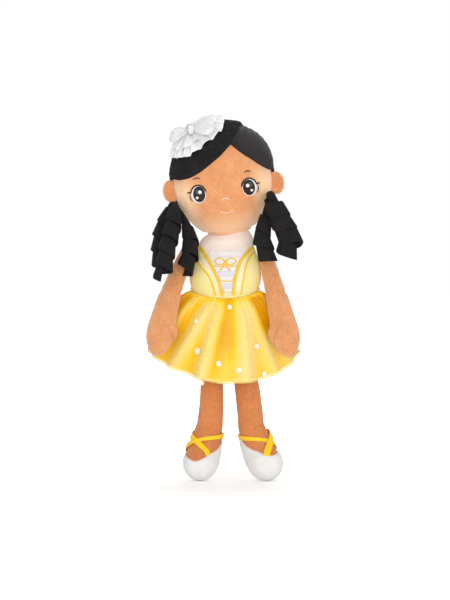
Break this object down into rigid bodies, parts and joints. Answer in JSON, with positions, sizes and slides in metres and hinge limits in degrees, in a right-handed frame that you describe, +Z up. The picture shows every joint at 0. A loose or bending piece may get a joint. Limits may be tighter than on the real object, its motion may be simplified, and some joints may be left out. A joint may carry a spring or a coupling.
{
  "type": "soft rag doll",
  "caption": "Soft stuffed rag doll with a tilted head, two bunches of felt ringlets, a bodice, a layered satin skirt and ballet shoes tied with ribbon.",
  "frame": {"origin": "bottom centre of the doll's box, on the floor under the toes", "axes": "+Z up towards the head, +X to the viewer's right, +Y away from the viewer; the face looks along -Y"},
  "size_m": [0.1606, 0.0952, 0.3701],
  "materials": {
    "plush_skin": "short matt plush",
    "face_plush": "short matt plush",
    "stuffing": "polyester fibre filling",
    "bodice_cloth": "soft knitted cloth",
    "yoke_cloth": "soft knitted cloth",
    "white_satin": "satin",
    "skirt_satin": "glossy satin",
    "skirt_sheer": "sheer organza with foil dots",
    "ribbon_satin": "satin ribbon",
    "shoe_satin": "silvery satin",
    "bow_tulle": "sheer tulle with a silver glint",
    "hair_plush": "short matt plush",
    "hair_satin": "satin-like smooth cloth",
    "hair_felt": "felt band",
    "yellow_thread": "satin-stitch embroidery and braid",
    "dark_thread": "satin-stitch embroidery",
    "white_thread": "satin-stitch embroidery",
    "peach_thread": "satin-stitch embroidery"
  },
  "bodies": {
    "torso": {"torso_cover": "bodice_cloth", "torso_stuffing": "stuffing", "neck_stump": "plush_skin", "chest_yoke": "yoke_cloth", "stomacher": "white_satin", "lace_edge": "white_satin", "bodice_bow": "yellow_thread", "waist_piping": "yellow_thread", "skirt_satin": "skirt_satin", "skirt_overlay": "skirt_sheer", "trim_wide_left": "yellow_thread", "trim_wide_right": "yellow_thread", "trim_narrow_left": "yellow_thread", "trim_narrow_right": "yellow_thread"},
    "seat": {"crotch_gusset": "plush_skin"},
    "leg_left": {"leg_cover_left": "plush_skin", "leg_stuffing_left": "stuffing", "shoe_left": "shoe_satin", "ribbon_ankle_left": "ribbon_satin", "ribbon_cross_left": "ribbon_satin"},
    "leg_right": {"leg_cover_right": "plush_skin", "leg_stuffing_right": "stuffing", "shoe_right": "shoe_satin", "ribbon_ankle_right": "ribbon_satin", "ribbon_cross_right": "ribbon_satin"},
    "arm_left": {"arm_cover_left": "plush_skin", "arm_stuffing_left": "stuffing"},
    "arm_right": {"arm_cover_right": "plush_skin", "arm_stuffing_right": "stuffing"},
    "head": {"head_cover": "face_plush", "head_stuffing": "stuffing", "ear_left": "face_plush", "ear_right": "face_plush", "eye_white_left": "white_thread", "eye_white_right": "white_thread", "iris_left": "dark_thread", "iris_right": "dark_thread", "lash_left": "dark_thread", "lash_right": "dark_thread", "brow_left": "dark_thread", "brow_right": "dark_thread", "nose": "peach_thread", "mouth": "peach_thread", "hair_front_left": "hair_plush", "hair_front_right": "hair_satin", "hair_back": "hair_plush", "tulle_disc": "bow_tulle", "bow_loop_left": "bow_tulle", "bow_loop_right": "bow_tulle", "bow_knot": "bow_tulle"},
    "bunch_left": {"hair_tie_left": "hair_plush", "ringlet_front_left": "hair_felt", "ringlet_outer_left": "hair_felt", "ringlet_inner_left": "hair_felt"},
    "bunch_right": {"hair_tie_right": "hair_plush", "ringlet_outer_right": "hair_felt", "ringlet_inner_right": "hair_felt"}
  },
  "joints": [
    {"name": "arm_left_raise", "type": "hinge", "parent": "torso", "child": "arm_left", "pos_m": [-0.03886, 0.00235, 0.227], "axis": [0, 0.9511, -0.309], "range_deg": [0, 90]},
    {"name": "arm_right_raise", "type": "hinge", "parent": "torso", "child": "arm_right", "pos_m": [0.04153, 0.00235, 0.227], "axis": [0, -0.9511, 0.309], "range_deg": [0, 90]},
    {"name": "seat_fold", "type": "hinge", "parent": "torso", "child": "seat", "pos_m": [0.00247, 0.00235, 0.15], "axis": [-1, 0, 0], "range_deg": [0, 90], "stiffness_Nm_per_rad": 0.5, "deforming": ["skirt_satin", "skirt_overlay"]},
    {"name": "leg_left_swing", "type": "hinge", "parent": "seat", "child": "leg_left", "pos_m": [-0.01103, 0.00235, 0.15], "axis": [-1, 0, 0], "range_deg": [-15, 10], "stiffness_Nm_per_rad": 0.5},
    {"name": "leg_right_swing", "type": "hinge", "parent": "seat", "child": "leg_right", "pos_m": [0.01597, 0.00235, 0.15], "axis": [-1, 0, 0], "range_deg": [-15, 10], "stiffness_Nm_per_rad": 0.5},
    {"name": "neck_tilt", "type": "hinge", "parent": "torso", "child": "head", "pos_m": [0.00347, 0.00235, 0.251], "axis": [0, 1, 0], "range_deg": [-4, 16], "stiffness_Nm_per_rad": 2},
    {"name": "bunch_left_swing", "type": "hinge", "parent": "head", "child": "bunch_left", "pos_m": [-0.04907, -0.00487, 0.27577], "axis": [0, 1, 0], "range_deg": [0, 40]},
    {"name": "bunch_right_swing", "type": "hinge", "parent": "head", "child": "bunch_right", "pos_m": [0.04635, -0.01666, 0.28729], "axis": [0, -1, 0], "range_deg": [0, 40]}
  ]
}
